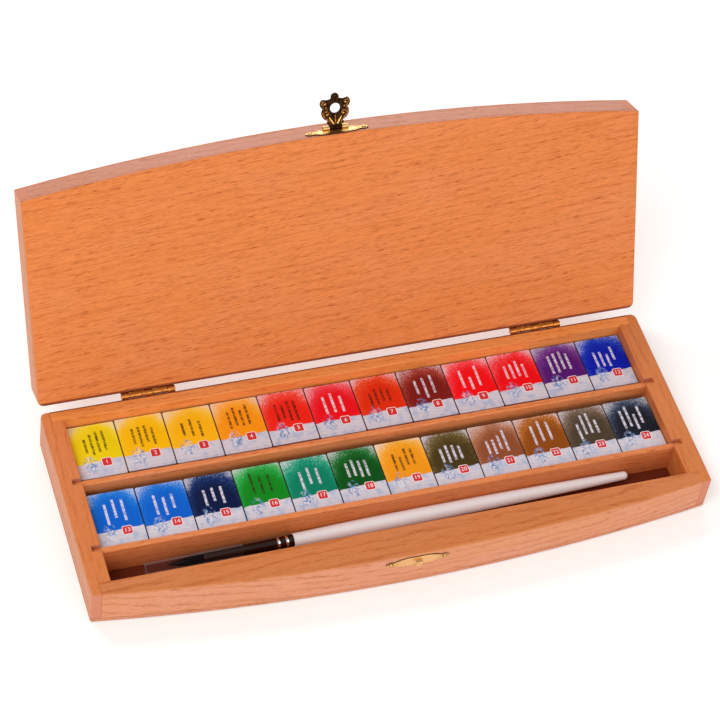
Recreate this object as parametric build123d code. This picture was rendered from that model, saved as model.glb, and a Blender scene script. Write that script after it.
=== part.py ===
from build123d import *
import math
import os

# Wooden watercolour box, open, with two rows of wrapped pans and a round brush.
# Millimetres. The origin is on the floor, midway along the box and midway between its
# back face and its front corners. +X runs to the right end, -Y is the bowed front, +Z is up.

# Outside of the box
box_length = 300.0          # left end to right end
box_depth = 105.0           # back face to the front corners
front_bow = 10.6            # how far the middle of the front stands past its corners
tray_height = 21.0
lid_height = 15.5
seam = 0.3                  # gap between the closed lid and the tray
back_corner = 3.0           # rounding of the two back corners, seen from above
front_corner = 0.8
edge_ease = 0.6             # bevel of the long outside edges
rim_ease = 0.4              # bevel of the inside edge of the rim and of the dividers' tops

# Boards
side_board = 10.4           # thickness of the left and right boards
back_board = 6.2
front_board = 6.4           # thickness of the front board at its ends
tongue = 4.8                # what a side board keeps past its corner rabbet
floor_board = 2.8           # tray bottom, glued under the frame
lid_sheet = 2.0             # the two thin sheets that close the lid's frame

# Dividers, which drop into grooves cut down the side boards
divider_board = 3.0
divider_drop = 2.4          # how far a divider's top lies below the rim
groove_play = 0.15          # clearance on each side of a divider in its groove
groove_depth = 4.5

# Wrapped pans
pans_in_row = 12
pan_gap = 0.35              # between neighbours, and between the end pans and the boards
pan_length = 31.0           # front to back
pan_height = 12.4
pan_draft = 1.5             # degrees that the pan's sides lean in towards its bottom
pan_corner = 0.9            # folded corner of the wrapper
pan_edge = 0.7
rear_slack_share = 0.131    # of the depth that boards and pans leave free, what the rear row has
front_slack_share = 0.168   # what the front row has of it; the brush lies in the rest
rear_row_back = 0.125       # share of its slack that a row has behind it
front_row_back = 0.78
pan_stagger = 0.35          # how unevenly the pans stand, front to back
stagger_turn = 2.3          # radians that each pan is further along the stagger's wave

# Lid hinges, nailed on the back faces
lid_angle = 114.0           # where the hinges stop the open lid
hinge_length = 26.0
hinge_spread_share = 0.65   # between the middles of the two hinges, of the box's length
hinge_leaf = 0.7            # leaf thickness
hinge_leaf_height = 9.0     # from the pin to the leaf's far edge
hinge_leaf_corner = 1.2
hinge_leaf_clear = 1.7      # from the pin to the leaf's near edge, beside the other's knuckles
hinge_barrel = 1.35         # barrel radius
hinge_pin = 0.65            # pin radius
hinge_pin_out = 1.5         # pin axis behind the back faces
lid_knuckle = 7.6           # length of each of the lid leaf's two knuckles, gaps included
knuckle_gap = 0.12
pin_play = 0.05             # radial clearance of every hinge pin

# Nails
nail_play = 0.03            # radial clearance of a nail in its hole
nail_sides = 12             # nails are small enough to be drawn with flat sides
nail_crown = 0.45           # height of a nail's head
nail_crown_flat = 0.55      # how much of the head's width is flat on top, as a share
hinge_nail = 0.6            # shank radius
hinge_nail_head = 1.3
hinge_nail_length = 4.6     # under the head
hinge_nail_spread = 17.0    # between a leaf's two nails
hinge_nail_reach = 5.6      # from the pin to the nails
plate_nail = 0.45
plate_nail_head = 0.85
plate_nail_length = 4.0
plate_nail_spread = 26.0

# Latch plates: a straight waist that runs out on each side to a lobe and a point
plate_sheet = 0.6
plate_length = 30.6
plate_height = 6.0          # of the waist
plate_waist = 9.2           # length of the waist
plate_shoulder = 16.4       # length over the sloping shoulders beside the waist
plate_shoulder_drop = 0.5
plate_lobe = 1.5            # radius of the lobes that hold the nails
plate_neck = 0.95           # half the height where a shoulder meets its lobe
latch_plate_up = 3.6        # middle of the lid's plate above the lid's lower face
catch_plate_down = 3.9      # middle of the tray's plate below the rim

# Hasp, which hangs from the lid's plate and drops over the hook
hasp_sheet = 0.7
hasp_pivot_up = 5.7         # hasp pin above the lid's lower face
hasp_pivot_out = 1.25       # hasp pin in front of the front board
hasp_barrel = 1.1
hasp_pin = 0.45
hasp_knuckle = 6.0          # length of the hasp's own knuckle
plate_knuckle = 3.0         # length of each knuckle on the plate
hasp_flare = 4.3            # half widths of the hasp, from its pin down
hasp_throat = 3.6
hasp_lobe = 6.6
hasp_waist = 5.9
hasp_ear = 7.15
hasp_tab = 1.9
hasp_flare_at = 2.3         # and how far below its pin each one lies
hasp_throat_at = 3.7
hasp_lobe_at = 7.0
hasp_waist_at = 9.8
hasp_ear_at = 12.9
hasp_foot_at = 14.4
hasp_length = 17.0
hasp_hole = 2.45
hasp_hole_at = 9.6
hook_width = 3.2
hook_sheet = 0.7
hook_reach = 2.75           # how far the hook stands out of the front board
hook_height = 3.0
hook_bend = 0.56            # outside radius of the hook's bend
hook_tip = 0.95

# Brush, whose round forms are drawn with many flat sides
brush_sides = 24
handle_length = 167.0
handle_end = 2.1            # radius before the rounded end
handle_belly = 3.85
handle_neck = 3.35          # where the handle leaves the ferrule
belly_from_neck = 48.0
taper_bow = 0.36            # how far the long taper bows out between the belly and the end
taper_steps = 6
neck_swell = 0.75           # how much of the belly's fullness the handle has halfway to it
end_steps = 3
end_turn = 80.0             # degrees of the round end that its flat sides follow
ferrule_length = 42.7
ferrule_neck = 3.05         # outer radius at the handle
ferrule_mouth = 2.35        # outer radius at the hair
ferrule_wall = 0.35
ferrule_play = 0.02
crimp_depth = 0.2
crimp_width = 1.6
crimps_from_neck = (3.3, 7.4)
tenon_length = 12.0
hair_length = 18.1
hair_root = 1.5             # thickness of the slice that holds the hairs
hair_strands = 300
hair_thickness = 0.79       # hair's middle to its corners, as a share of its place's width
hair_rim = 0.12             # between the outer hairs and the ferrule's mouth
outer_hair_loss = 0.36      # the outermost hairs are this much shorter, as a share
hair_stations = ((0.0, 1.0), (0.42, 0.98), (1.0, 0.05))
sleeve_length = 46.2
sleeve_radius = 3.2
sleeve_wall = 0.3
sleeve_overlap = 18.4       # how far the sleeve covers the ferrule
brush_neck_from_end = 100.0  # where the handle leaves the ferrule, from the box's left end
brush_play = 0.35           # brush to the divider and to the floor
brush_yaw = 0.45            # degrees, the handle's end lies nearer the back
brush_pitch = 0.3           # degrees, the hair lies a little lower than the handle

# Derived places
half_length = box_length / 2
back_y = box_depth / 2
corner_y = -box_depth / 2
bow_y = corner_y - front_bow
inner_x = half_length - side_board
inner_back_y = back_y - back_board
inner_front_y = corner_y + front_board
hinge_x = hinge_spread_share * half_length
slack = inner_back_y - inner_front_y - 2 * (divider_board + pan_length)
rear_slack = rear_slack_share * slack
front_slack = front_slack_share * slack
rear_divider_y = inner_back_y - pan_length - rear_slack - divider_board / 2
front_divider_y = rear_divider_y - divider_board - pan_length - front_slack
lid_base = tray_height + seam
pin_y = back_y + hinge_pin_out
pin_z = tray_height + seam / 2
latch_z = lid_base + latch_plate_up
catch_z = tray_height - catch_plate_down
hasp_pivot = Pos(0, bow_y - hasp_pivot_out, lid_base + hasp_pivot_up)
past = 5.0                  # how far cutting tools run past what they cut

os.makedirs("parts", exist_ok=True)


def save(shape, node):
    """Write one named piece."""
    export_step(shape, "parts/" + node + ".step")


def block(x0, x1, y0, y1, z0, z1):
    """A box between two corners."""
    return Pos(x0, y0, z0) * Box(x1 - x0, y1 - y0, z1 - z0, align=Align.MIN)


def rod(radius, start, end):
    """A round rod on the X axis, between two places along it."""
    plane = Plane(origin=(start, 0, 0), z_dir=(1, 0, 0))
    return plane * Cylinder(radius, end - start, align=(Align.CENTER, Align.CENTER, Align.MIN))


def turned(stations, sides):
    """A round form along X with flat sides, from its radii at places along it."""
    sections = [Plane(origin=(x, 0, 0), z_dir=(1, 0, 0)) * RegularPolygon(radius, sides)
                for x, radius in stations]
    return loft(sections, ruled=True)


def closed_half(edges):
    """A face from one side of an outline and its mirror image across the Y axis."""
    half = Curve() + edges
    return make_face(half + mirror(half, about=Plane.YZ))


def to_rest(piece):
    """Carry a piece from the closed lid to the open one, about the hinge pins."""
    return piece.rotate(Axis((0, pin_y, pin_z), (1, 0, 0)), -lid_angle)


# Outline and frame, which the tray and the lid share

def plan_outline():
    """The box from above: straight back and ends, and a front that bows out in one arc."""
    left_front = (-half_length, corner_y)
    right_front = (half_length, corner_y)
    sides = Polyline(right_front, (half_length, back_y), (-half_length, back_y), left_front)
    face = make_face(sides + ThreePointArc(left_front, (0, bow_y), right_front))
    face = fillet(face.vertices().sort_by(Axis.Y)[:2], front_corner)
    return fillet(face.vertices().sort_by(Axis.Y)[-2:], back_corner)


def rounded_body(z0, z1):
    """The whole outline between two heights, with its outside edges bevelled."""
    body = Pos(0, 0, z0) * extrude(plan_outline(), z1 - z0)
    levels = body.faces().sort_by(Axis.Z)
    return chamfer(levels[0].edges() + levels[-1].edges(), edge_ease)


def slab(z0, z1):
    """Everything between two heights."""
    return block(-half_length - past, half_length + past, bow_y - past, back_y + past, z0, z1)


def cavity(z0, z1):
    """The straight-sided space between the boards."""
    return block(-inner_x, inner_x, inner_front_y, inner_back_y, z0, z1)


def board_regions(z0, z1):
    """Where each board lies: the side boards' tongues cover the ends of the other two."""
    tongue_x = half_length - tongue
    back = block(-tongue_x, tongue_x, inner_back_y, back_y + past, z0, z1)
    front = block(-tongue_x, tongue_x, bow_y - past, inner_front_y, z0, z1)
    right = block(inner_x, half_length + past, bow_y - past, back_y + past, z0, z1)
    left = mirror(right, about=Plane.YZ)
    return {
        "left": left - back - front,
        "right": right - back - front,
        "back": back,
        "front": front,
    }


def on_inner_rim(edge):
    """Whether an edge is one of the four around the top of the tray's cavity."""
    middle = edge.center()
    inside_x = abs(middle.X) < inner_x + rim_ease / 2
    inside_y = inner_front_y - rim_ease / 2 < middle.Y < inner_back_y + rim_ease / 2
    return inside_x and inside_y and abs(middle.Z - tray_height) < rim_ease / 2


# Nails, which all point into the box along Y

def nail(shank, head, length):
    """A crowned nail along +Y, with the underside of its head at the origin."""
    crown = turned([(-nail_crown, head * nail_crown_flat), (0, head)], nail_sides)
    return Rot(0, 0, 90) * (crown + turned([(0, shank), (length, shank)], nail_sides))


def nail_hole(shank, length):
    """The hole that a nail fills, open to the front and a little longer than the nail."""
    radius = shank + nail_play
    return Rot(0, 0, 90) * turned([(-past, radius), (length + nail_play, radius)], nail_sides)


def on_hinges(piece, side):
    """Four copies, two to a hinge, on the tray's leaves or on the lid's, pointing forwards."""
    copies = []
    for hinge in (-1, 1):
        for end in (-1, 1):
            x = hinge * hinge_x + end * hinge_nail_spread / 2
            place = Pos(x, back_y + hinge_leaf, pin_z + side * hinge_nail_reach)
            copies.append(place * Rot(0, 0, 180) * piece)
    return copies


def on_plate(piece, z):
    """Two copies, one at each end of a latch plate."""
    return [Pos(x, bow_y - plate_sheet, z) * piece
            for x in (-plate_nail_spread / 2, plate_nail_spread / 2)]


hinge_nail_hole = nail_hole(hinge_nail, hinge_nail_length)
plate_nail_hole = nail_hole(plate_nail, plate_nail_length)


# Tray

def build_tray():
    body = rounded_body(0, tray_height)
    save(body & slab(0, floor_board), "tray_bottom_panel")
    frame = body - slab(-past, floor_board) - cavity(floor_board, tray_height + past)
    frame = chamfer(frame.edges().filter_by(on_inner_rim), rim_ease)
    boards = {name: frame & region
              for name, region in board_regions(floor_board, tray_height).items()}
    boards["left"] -= divider_grooves()
    boards["right"] -= divider_grooves()
    boards["back"] -= on_hinges(hinge_nail_hole, -1)
    boards["front"] -= on_plate(plate_nail_hole, catch_z)
    for name, board in boards.items():
        save(board, "tray_" + name + "_board")
    save(Pos(0, rear_divider_y, 0) * divider_piece(), "rear_divider")
    save(Pos(0, front_divider_y, 0) * divider_piece(), "front_divider")


def divider_grooves():
    """Both grooves, each cut as one bar that reaches into the two side boards."""
    reach = inner_x + groove_depth
    half = divider_board / 2 + groove_play
    bar = block(-reach, reach, -half, half, floor_board, tray_height + past)
    return [Pos(0, middle, 0) * bar for middle in (rear_divider_y, front_divider_y)]


def divider_piece():
    """A divider, its thickness centred, as long as the two grooves let it be."""
    reach = inner_x + groove_depth - groove_play
    half = divider_board / 2
    board = block(-reach, reach, -half, half, floor_board, tray_height - divider_drop)
    return chamfer(board.edges().filter_by(Axis.X).group_by(Axis.Z)[-1], rim_ease)


# Lid, made closed and carried open

def build_lid():
    lid_top = lid_base + lid_height
    frame_base = lid_base + lid_sheet
    frame_top = lid_top - lid_sheet
    body = rounded_body(lid_base, lid_top)
    save(to_rest(body & slab(lid_base, frame_base)), "lid_inner_panel")
    save(to_rest(body & slab(frame_top, lid_top)), "lid_outer_panel")
    frame = body & (slab(frame_base, frame_top) - cavity(frame_base, frame_top))
    rails = {name: frame & region
             for name, region in board_regions(frame_base, frame_top).items()}
    rails["back"] -= on_hinges(hinge_nail_hole, 1)
    rails["front"] -= on_plate(plate_nail_hole, latch_z)
    for name, rail in rails.items():
        save(to_rest(rail), "lid_" + name + "_rail")


# Hinges

def knuckle_spans(lengths, first):
    """Where along the pin one leaf's knuckles lie, taking every second place."""
    spans = []
    start = -hinge_length / 2
    for place, length in enumerate(lengths):
        if place % 2 == first:
            spans.append((start + knuckle_gap / 2, start + length - knuckle_gap / 2))
        start += length
    return spans


def hinge_leaf_piece(first):
    """A leaf standing up from a pin at the origin: the tray's has the 1st, 3rd and 5th knuckle."""
    tray_knuckle = (hinge_length - 2 * lid_knuckle) / 3
    lengths = (tray_knuckle, lid_knuckle, tray_knuckle, lid_knuckle, tray_knuckle)
    face_y = -hinge_pin_out
    half = hinge_length / 2
    leaf = block(-half, half, face_y, face_y + hinge_leaf, hinge_leaf_clear, hinge_leaf_height)
    leaf = fillet(leaf.edges().filter_by(Axis.Y).group_by(Axis.Z)[-1], hinge_leaf_corner)
    for start, end in knuckle_spans(lengths, first):
        web = block(start, end, face_y, face_y + hinge_leaf, 0, hinge_leaf_clear)
        leaf += web + rod(hinge_barrel, start, end)
    return leaf - rod(hinge_pin + pin_play, -hinge_length, hinge_length)


def build_hinges():
    tray_leaf = mirror(hinge_leaf_piece(0), about=Plane.XY)
    lid_leaf = hinge_leaf_piece(1)
    for name, side in (("left", -1), ("right", 1)):
        place = Pos(side * hinge_x, pin_y, pin_z)
        save(place * tray_leaf - on_hinges(hinge_nail_hole, -1), name + "_hinge_tray_leaf")
        save(to_rest(place * lid_leaf - on_hinges(hinge_nail_hole, 1)), name + "_hinge_lid_leaf")
        save(place * rod(hinge_pin, -hinge_length / 2, hinge_length / 2), name + "_hinge_pin")
    piece = nail(hinge_nail, hinge_nail_head, hinge_nail_length)
    save(Compound(children=on_hinges(piece, -1)), "hinge_nails_tray")
    save(to_rest(Compound(children=on_hinges(piece, 1))), "hinge_nails_lid")


# Latch

def plate_blank():
    """A latch plate's sheet, standing on the front board with its middle at the origin."""
    nail_x = plate_nail_spread / 2
    waist = (plate_waist / 2, plate_height / 2)
    shoulder = (plate_shoulder / 2, plate_height / 2 - plate_shoulder_drop)
    run = math.sqrt(plate_lobe ** 2 - plate_neck ** 2)
    lobe_start = (nail_x - run, plate_neck)
    lobe_end = (nail_x + run, plate_neck)
    upper = Curve() + [
        Polyline((0, plate_height / 2), waist, shoulder, lobe_start),
        ThreePointArc(lobe_start, (nail_x, plate_lobe), lobe_end),
        Line(lobe_end, (plate_length / 2, 0)),
    ]
    face = closed_half(upper + mirror(upper, about=Plane.XZ))
    return extrude(Rot(90, 0, 0) * face, plate_sheet)


def latch_plate_piece():
    """The lid's plate: its sheet is cut away for the hasp and curls round the pin beside it."""
    pivot_z = lid_base + hasp_pivot_up
    slot = hasp_knuckle / 2 + knuckle_gap
    clear = hasp_barrel + knuckle_gap
    plate = Pos(0, bow_y, latch_z) * plate_blank()
    plate -= block(-slot, slot, bow_y - past, bow_y, pivot_z - clear, pivot_z + past)
    start = slot
    end = slot + plate_knuckle
    for side in (-1, 1):
        web = block(start, end, bow_y - plate_sheet, bow_y, pivot_z - hasp_barrel, pivot_z)
        curl = web + hasp_pivot * rod(hasp_barrel, start, end)
        plate += curl if side > 0 else mirror(curl, about=Plane.YZ)
    plate -= hasp_pivot * rod(hasp_pin + pin_play, -plate_length, plate_length)
    return plate - on_plate(plate_nail_hole, latch_z)


def hasp_outline():
    """The hanging hasp from the front: a flared neck, a scrolled body with ears, and a tab."""
    neck = hasp_knuckle / 2
    neck_foot = (neck, -hasp_barrel - knuckle_gap)
    throat = (hasp_throat, -hasp_throat_at)
    waist = (hasp_waist, -hasp_waist_at)
    foot = (hasp_waist, -hasp_foot_at)
    tab = (hasp_tab, -hasp_foot_at)
    tab_side = (hasp_tab, hasp_tab - hasp_length)
    right = [
        Polyline((0, 0), (neck, 0), neck_foot, (hasp_flare, -hasp_flare_at), throat),
        ThreePointArc(throat, (hasp_lobe, -hasp_lobe_at), waist),
        ThreePointArc(waist, (hasp_ear, -hasp_ear_at), foot),
        RadiusArc(foot, tab, -(hasp_waist - hasp_tab)),
        Line(tab, tab_side),
        RadiusArc(tab_side, (0, -hasp_length), hasp_tab),
    ]
    return closed_half(right) - Pos(0, -hasp_hole_at) * Circle(hasp_hole)


def hasp_piece():
    """The hasp, hanging down from a pin at the origin as it does when it is latched."""
    shield = extrude(Rot(90, 0, 0) * hasp_outline(), hasp_sheet / 2, both=True)
    barrel = rod(hasp_barrel, -hasp_knuckle / 2, hasp_knuckle / 2)
    return shield + barrel - rod(hasp_pin + pin_play, -hasp_knuckle, hasp_knuckle)


def catch_plate_piece():
    """The tray's plate, with a hook bent out of it and down."""
    half = hook_width / 2
    top = catch_z + hook_height / 2
    front_y = bow_y - hook_reach
    arm = block(-half, half, front_y, bow_y - plate_sheet / 2, top - hook_sheet, top)
    finger = block(-half, half, front_y, front_y + hook_sheet, top - hook_height, top)
    hook = arm + finger
    bend = hook.edges().filter_by(Axis.X).sort_by_distance((0, front_y, top))[0]
    hook = fillet(bend, hook_bend)
    hook = fillet(hook.faces().sort_by(Axis.Z)[0].edges().filter_by(Axis.Y), hook_tip)
    plate = Pos(0, bow_y, catch_z) * plate_blank() + hook
    return plate - on_plate(plate_nail_hole, catch_z)


def build_latch():
    reach = hasp_knuckle / 2 + knuckle_gap + plate_knuckle
    standing = Rot(-90, 0, 0) * hasp_piece()
    piece = nail(plate_nail, plate_nail_head, plate_nail_length)
    save(to_rest(latch_plate_piece()), "latch_plate")
    save(to_rest(hasp_pivot * rod(hasp_pin, -reach, reach)), "hasp_pin")
    save(to_rest(hasp_pivot * standing), "hasp")
    save(catch_plate_piece(), "catch_plate")
    save(to_rest(Compound(children=on_plate(piece, latch_z))), "latch_plate_nails")
    save(Compound(children=on_plate(piece, catch_z)), "catch_plate_nails")


# Wrapped pans

def pan_piece(width):
    """A pan in its folded wrapper, standing on the origin and a little narrower at its foot."""
    outline = Rectangle(width, pan_length)
    body = extrude(chamfer(outline.vertices(), pan_corner), pan_height)
    sides = body.faces().sort_by(Axis.Z)[1:-1]
    body = draft(sides, Plane.XY.offset(pan_height), -pan_draft)
    return chamfer(body.faces().sort_by(Axis.Z)[-1].edges(), pan_edge)


def build_pans():
    width = (2 * inner_x - pan_gap) / pans_in_row - pan_gap
    piece = pan_piece(width)
    row_back = rear_divider_y - divider_board / 2
    rear_y = inner_back_y - rear_row_back * rear_slack - pan_length / 2
    front_y = row_back - front_row_back * front_slack - pan_length / 2
    number = 0
    for row_y in (rear_y, front_y):
        for place in range(pans_in_row):
            number += 1
            x = -inner_x + pan_gap + width / 2 + place * (width + pan_gap)
            back_by = pan_stagger * (1 + math.sin(stagger_turn * number)) / 2
            save(Pos(x, row_y - back_by, floor_board) * piece, "pan_%02d" % number)


# Brush, made along X with its hair to the left and the handle's neck at the origin

def on_cone(along, inset):
    """A point of the ferrule's cone, so far from its neck and set in from the outside."""
    slope = (ferrule_neck - ferrule_mouth) / ferrule_length
    return (-along, ferrule_neck - slope * along - inset)


def ferrule_piece():
    """A drawn metal cone with two crimped rings near the handle."""
    outside = [on_cone(0, 0)]
    for place in crimps_from_neck:
        outside.append(on_cone(place - crimp_width / 2, 0))
        outside.append(on_cone(place, crimp_depth))
        outside.append(on_cone(place + crimp_width / 2, 0))
    outside.append(on_cone(ferrule_length, 0))
    inside = [on_cone(0, ferrule_wall), on_cone(ferrule_length, ferrule_wall)]
    return turned(outside, brush_sides) - turned(inside, brush_sides)


def handle_piece():
    """A turned handle: fullest a third of the way along, then a long taper to a round end."""
    round_x = handle_length - handle_end
    stations = [(0, handle_neck)]
    swell = handle_neck + (handle_belly - handle_neck) * neck_swell
    stations.append((belly_from_neck / 2, swell))
    for step in range(taper_steps + 1):
        share = step / taper_steps
        bow = taper_bow * math.sin(math.pi * share)
        radius = handle_belly + (handle_end - handle_belly) * share + bow
        stations.append((belly_from_neck + (round_x - belly_from_neck) * share, radius))
    for step in range(1, end_steps + 1):
        turn = math.radians(end_turn) * step / end_steps
        stations.append((round_x + handle_end * math.sin(turn), handle_end * math.cos(turn)))
    inset = ferrule_wall + ferrule_play
    tenon = turned([on_cone(tenon_length, inset), on_cone(0, inset)], brush_sides)
    return turned(stations, brush_sides) + tenon


def hair_scale(share):
    """How far out the hairs lie, as a share of their root, at a share of the tuft's length."""
    for (low, low_scale), (high, high_scale) in zip(hair_stations, hair_stations[1:]):
        if share <= high:
            return low_scale + (high_scale - low_scale) * (share - low) / (high - low)
    return hair_stations[-1][1]


def hair_ring(share, out, turn, half_width):
    """The three corners of one hair at a share of the tuft's length."""
    scale = hair_scale(share)
    corners = []
    for corner in range(3):
        angle = turn + corner * 2 * math.pi / 3
        y = out * math.cos(turn) + half_width * math.cos(angle)
        z = out * math.sin(turn) + half_width * math.sin(angle)
        corners.append(Vector(-share * hair_length, scale * y, scale * z))
    return corners


def hair_tuft():
    """Three-sided hairs on a sunflower spiral, drawn in to a point, rooted in one round slice."""
    mouth_flat = (ferrule_mouth - ferrule_wall) * math.cos(math.pi / brush_sides)
    root_radius = mouth_flat - ferrule_play
    spread = root_radius - hair_rim
    half_width = hair_thickness * spread / math.sqrt(hair_strands)
    golden_turn = math.pi * (3 - math.sqrt(5))
    faces = []
    roots = []
    for strand in range(hair_strands):
        outward = (strand + 0.5) / hair_strands
        out = spread * math.sqrt(outward)
        ends = [share for share, scale in hair_stations[:-1]]
        ends.append(1 - outer_hair_loss * outward)
        rings = [hair_ring(share, out, strand * golden_turn, half_width) for share in ends]
        for ring, following in zip(rings, rings[1:]):
            for side in range(3):
                after = (side + 1) % 3
                corners = [ring[side], ring[after], following[after], following[side]]
                faces.append(Face(Wire.make_polygon(corners)))
        faces.append(Face(Wire.make_polygon(rings[-1])))
        roots.append(Wire.make_polygon(rings[0]))
    front = Plane(origin=(0, 0, 0), x_dir=(0, 1, 0), z_dir=(1, 0, 0))
    faces.append(Face(Wire.make_circle(root_radius, front), roots))
    slice_faces = Solid.make_cylinder(root_radius, hair_root, front).faces()
    faces += slice_faces.sort_by(Axis.X)[1:]
    return Pos(-ferrule_length, 0, 0) * Solid(Shell(faces))


def sleeve_piece():
    """The clear tube that is pushed over the hair."""
    end = sleeve_overlap - ferrule_length
    start = end - sleeve_length
    bore = sleeve_radius - sleeve_wall
    outside = turned([(start, sleeve_radius), (end, sleeve_radius)], brush_sides)
    return outside - turned([(start, bore), (end, bore)], brush_sides)


def lay_down(piece):
    """Lay the brush in the front compartment, its belly beside the divider and on the floor."""
    belly = Pos(
        brush_neck_from_end + belly_from_neck - half_length,
        front_divider_y - divider_board / 2 - brush_play - handle_belly,
        floor_board + brush_play + handle_belly,
    )
    turn = Rot(0, 0, brush_yaw) * Rot(0, -brush_pitch, 0)
    return belly * turn * Pos(-belly_from_neck, 0, 0) * piece


def build_brush():
    save(lay_down(handle_piece()), "brush_handle")
    save(lay_down(ferrule_piece()), "brush_ferrule")
    save(lay_down(hair_tuft()), "brush_hair")
    save(lay_down(sleeve_piece()), "brush_sleeve")


build_tray()
build_lid()
build_hinges()
build_latch()
build_pans()
build_brush()
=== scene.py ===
import math
import random

import bmesh
import bpy
from mathutils import Matrix, Vector


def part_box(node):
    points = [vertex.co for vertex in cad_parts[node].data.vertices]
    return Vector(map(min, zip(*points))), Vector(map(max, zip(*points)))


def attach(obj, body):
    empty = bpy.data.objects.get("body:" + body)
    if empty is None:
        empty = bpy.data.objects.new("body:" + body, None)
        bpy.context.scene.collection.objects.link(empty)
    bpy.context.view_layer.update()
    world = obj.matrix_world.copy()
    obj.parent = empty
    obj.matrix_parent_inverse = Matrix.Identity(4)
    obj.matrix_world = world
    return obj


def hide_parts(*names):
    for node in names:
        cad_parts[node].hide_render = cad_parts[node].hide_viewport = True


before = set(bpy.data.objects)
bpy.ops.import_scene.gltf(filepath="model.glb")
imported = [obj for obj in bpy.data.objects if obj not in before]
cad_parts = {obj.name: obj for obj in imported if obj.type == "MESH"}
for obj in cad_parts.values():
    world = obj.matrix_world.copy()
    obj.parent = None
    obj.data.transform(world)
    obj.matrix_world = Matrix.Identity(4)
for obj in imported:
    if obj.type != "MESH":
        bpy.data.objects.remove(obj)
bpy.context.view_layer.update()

# Sizes and places in millimetres
BACK_Y = 52.5
BOW_Y = -63.1
LID_ANGLE = 114.0
HINGE_PIN = Vector((0, 54.0, 21.15))
HINGE_X = 97.5          # of each hinge's middle, to the left and to the right
HINGE_LENGTH = 26.0
HINGE_LEAF = 0.7
HINGE_NAIL_X = 8.5      # of each nail, from its hinge's middle
HINGE_NAIL_REACH = 5.6  # of each nail, from the pin
HASP_PIVOT = Vector((0, -64.35, 27.0))
HASP_SHEET = 0.7
LATCH_Z = 24.9
CATCH_Z = 17.1
PLATE_SHEET = 0.6
PLATE_NAIL_X = 13.0
HOOK_REACH = 2.62       # of the hook's beads, from the front board
PANS_IN_ROW = 12
PAN_HEIGHT = 12.4
HANDLE_LENGTH = 167.0
HANDLE_NECK = 3.35      # radius beside the ferrule
HANDLE_BELLY = 3.85
HANDLE_END = 2.1
BELLY_AT = 48.0         # along the handle, from the ferrule
TAPER_AT = 66.0         # along the handle, where its long taper begins
BRUSH_BELLY = Vector((-2.0, -33.2, 7.0))
FERRULE_LENGTH = 42.7
CRIMPS = (3.3, 7.4)     # along the ferrule, from the handle
HAIR_LENGTH = 18.1
SLEEVE_START = -70.5
SLEEVE_END = -24.3
SLEEVE_RADIUS = 3.2
SLEEVE_BORE = 2.9

LID_TURN = Matrix.Rotation(math.radians(-LID_ANGLE), 4, "X")
TO_OPEN_LID = Matrix.Translation(HINGE_PIN) @ LID_TURN @ Matrix.Translation(-HINGE_PIN)
TO_METRES = Matrix.Scale(0.001, 4)
STAND_HASP = Matrix.Rotation(math.radians(-90), 4, "X")
HASP_PLACE = TO_OPEN_LID @ Matrix.Translation(HASP_PIVOT) @ STAND_HASP
BRUSH_PLACE = (
    Matrix.Translation(BRUSH_BELLY)
    @ Matrix.Rotation(math.radians(0.45), 4, "Z")
    @ Matrix.Rotation(math.radians(-0.3), 4, "Y")
    @ Matrix.Translation((-BELLY_AT, 0, 0))
)


def paint(red, green, blue):
    """A colour as shaders want it, from its 0 to 255 values."""
    parts = [part / 255 for part in (red, green, blue)]
    linear = [p / 12.92 if p <= 0.04045 else ((p + 0.055) / 1.055) ** 2.4 for p in parts]
    return (*linear, 1.0)


def shade(colour, red, green=None, blue=None):
    """A colour made darker, or lighter where a share is over 1; one share serves all three."""
    shares = (red, red if green is None else green, red if blue is None else blue)
    return (*[part * share for part, share in zip(colour, shares)], 1.0)


# Materials

class Value:
    """A number that varies over a surface, for use in plain sums."""

    def __init__(self, finish, socket):
        self.finish = finish
        self.socket = socket

    def math(self, operation, *others):
        node = self.finish.node(
            "ShaderNodeMath", {"operation": operation}, dict(enumerate((self, *others)))
        )
        return Value(self.finish, node.outputs[0])

    def __add__(self, other):
        return self.math("ADD", other)

    __radd__ = __add__

    def __sub__(self, other):
        return self.math("SUBTRACT", other)

    def __rsub__(self, other):
        return self.math("MULTIPLY", -1.0).math("ADD", other)

    def __mul__(self, other):
        return self.math("MULTIPLY", other)

    __rmul__ = __mul__

    def __pow__(self, other):
        return self.math("POWER", other)

    def __abs__(self):
        return self.math("ABSOLUTE")

    def rise(self, low, high):
        """From 0 where the value is low to 1 where it is high, with soft ends."""
        node = self.finish.node(
            "ShaderNodeMapRange",
            {"interpolation_type": "SMOOTHSTEP"},
            {"Value": self, "From Min": low, "From Max": high},
        )
        return Value(self.finish, node.outputs[0])


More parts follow.
